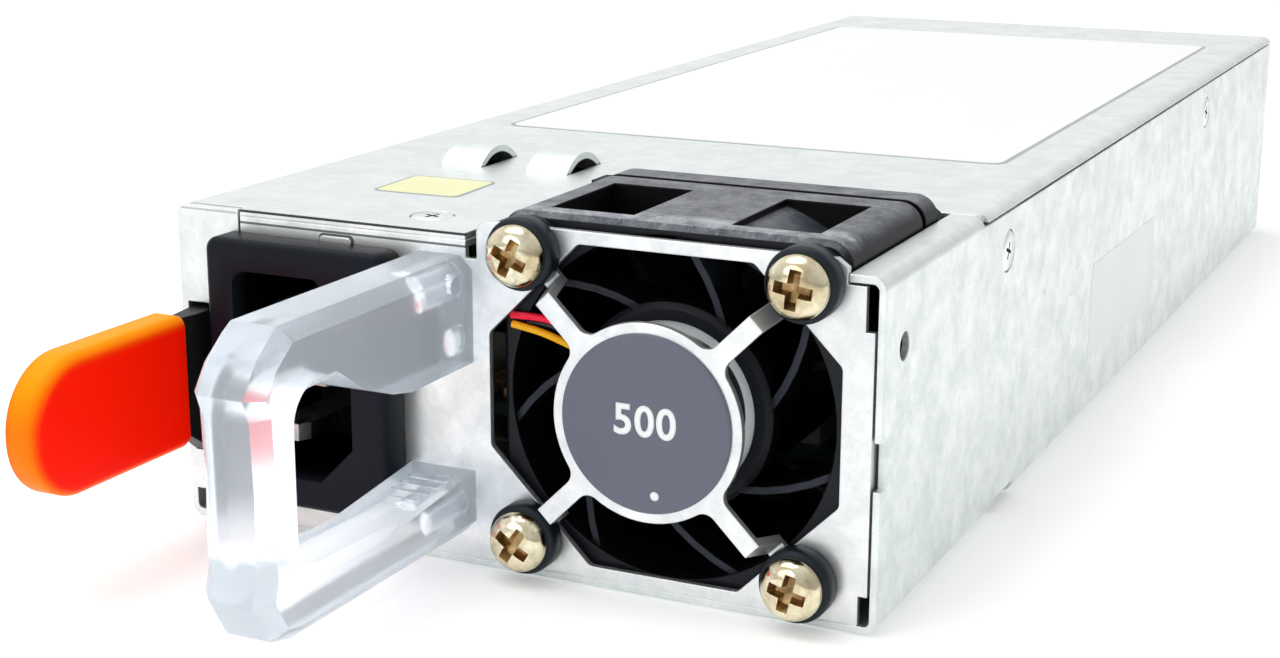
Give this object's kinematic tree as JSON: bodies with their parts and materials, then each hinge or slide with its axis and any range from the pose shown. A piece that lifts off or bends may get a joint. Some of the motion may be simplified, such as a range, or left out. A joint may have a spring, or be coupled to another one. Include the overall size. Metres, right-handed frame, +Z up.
{
  "type": "hot swap server power supply",
  "caption": "Slim steel-cased server power supply with cooling fan, mains inlet, pull handle, orange release latch and rear card edge connector.",
  "frame": {"origin": "centre of the case's bottom face", "axes": "+X to the right seen from the front, +Y from the front panel to the rear connector, +Z up"},
  "size_m": [0.0876, 0.2735, 0.0408],
  "materials": {
    "galvanised_steel": "galvanised, faintly mottled",
    "bright_zinc": "bright zinc plate",
    "black_plastic": "fine satin moulding",
    "fan_plastic": "satin glass filled moulding",
    "brass_contact": "nickel plated brass",
    "circuit_board": "green solder mask",
    "copper": "enamelled copper",
    "frosted_plastic": "frosted clear polycarbonate",
    "clear_lens": "clear",
    "orange_plastic": "satin orange",
    "spring_steel": "ground",
    "ferrite": "matt",
    "silver_foil": "foil",
    "wire_insulation": "soft",
    "nickel_screw": "nickel plate",
    "rubber": "matt",
    "grey_badge": "satin film",
    "foam": "closed cell foam",
    "gold_contact": "gold plate",
    "insulating_film": "translucent film",
    "capacitor_sleeve": "shrink sleeve",
    "aluminium_can": "drawn can",
    "aluminium": "extruded",
    "tape_wrap": "polyester tape",
    "film_box": "moulded box",
    "blue_lacquer": "lacquer",
    "fuse_body": "ceramic with end caps",
    "white_nylon": "nylon"
  },
  "bodies": {
    "case": {"chassis_tray": "galvanised_steel", "top_cover": "galvanised_steel", "front_panel": "galvanised_steel", "rear_panel": "galvanised_steel", "cover_screws": "bright_zinc", "inlet_housing": "black_plastic", "inlet_pins": "brass_contact", "inlet_board": "circuit_board", "inlet_straps": "copper", "handle": "frosted_plastic", "handle_screws": "bright_zinc", "status_lamp": "clear_lens", "latch_bracket": "galvanised_steel", "latch_pin": "bright_zinc", "latch_spring": "spring_steel", "fan_frame": "fan_plastic", "fan_bearings": "spring_steel", "fan_stator": "spring_steel", "fan_coils": "copper", "fan_circuit_board": "circuit_board", "fan_label": "silver_foil", "fan_wires": "wire_insulation", "fan_screws": "nickel_screw", "fan_grommets": "rubber", "guard_badge": "grey_badge", "fan_seal": "foam", "main_board": "circuit_board", "edge_contacts": "gold_contact", "board_standoffs": "bright_zinc", "board_screws": "bright_zinc", "insulating_sheet": "insulating_film", "bulk_capacitor": "capacitor_sleeve", "output_capacitors": "aluminium_can", "input_choke": "copper", "boost_choke": "copper", "output_choke": "copper", "transformer_core": "ferrite", "transformer_winding": "tape_wrap", "standby_transformer": "tape_wrap", "film_capacitors": "film_box", "disc_capacitors": "blue_lacquer", "mains_relay": "black_plastic", "mains_fuse": "fuse_body", "heat_sinks": "aluminium", "power_transistors": "black_plastic", "control_board": "circuit_board", "fan_connector": "white_nylon"},
    "fan_rotor": {"fan_rotor": "fan_plastic", "fan_shaft": "spring_steel", "fan_magnet": "ferrite"},
    "latch": {"latch_lever": "black_plastic", "latch_tab": "orange_plastic"}
  },
  "joints": [
    {"name": "fan_spin", "type": "hinge", "parent": "case", "child": "fan_rotor", "pos_m": [0.0189, -0.097, 0.0208], "axis": [0, 1, 0], "continuous": true},
    {"name": "latch_pivot", "type": "hinge", "parent": "case", "child": "latch", "pos_m": [-0.0389, -0.0825, 0.017], "axis": [0, 0, 1], "range_deg": [0, 3.5], "stiffness_Nm_per_rad": 0.2, "springref_deg": -8.59}
  ]
}
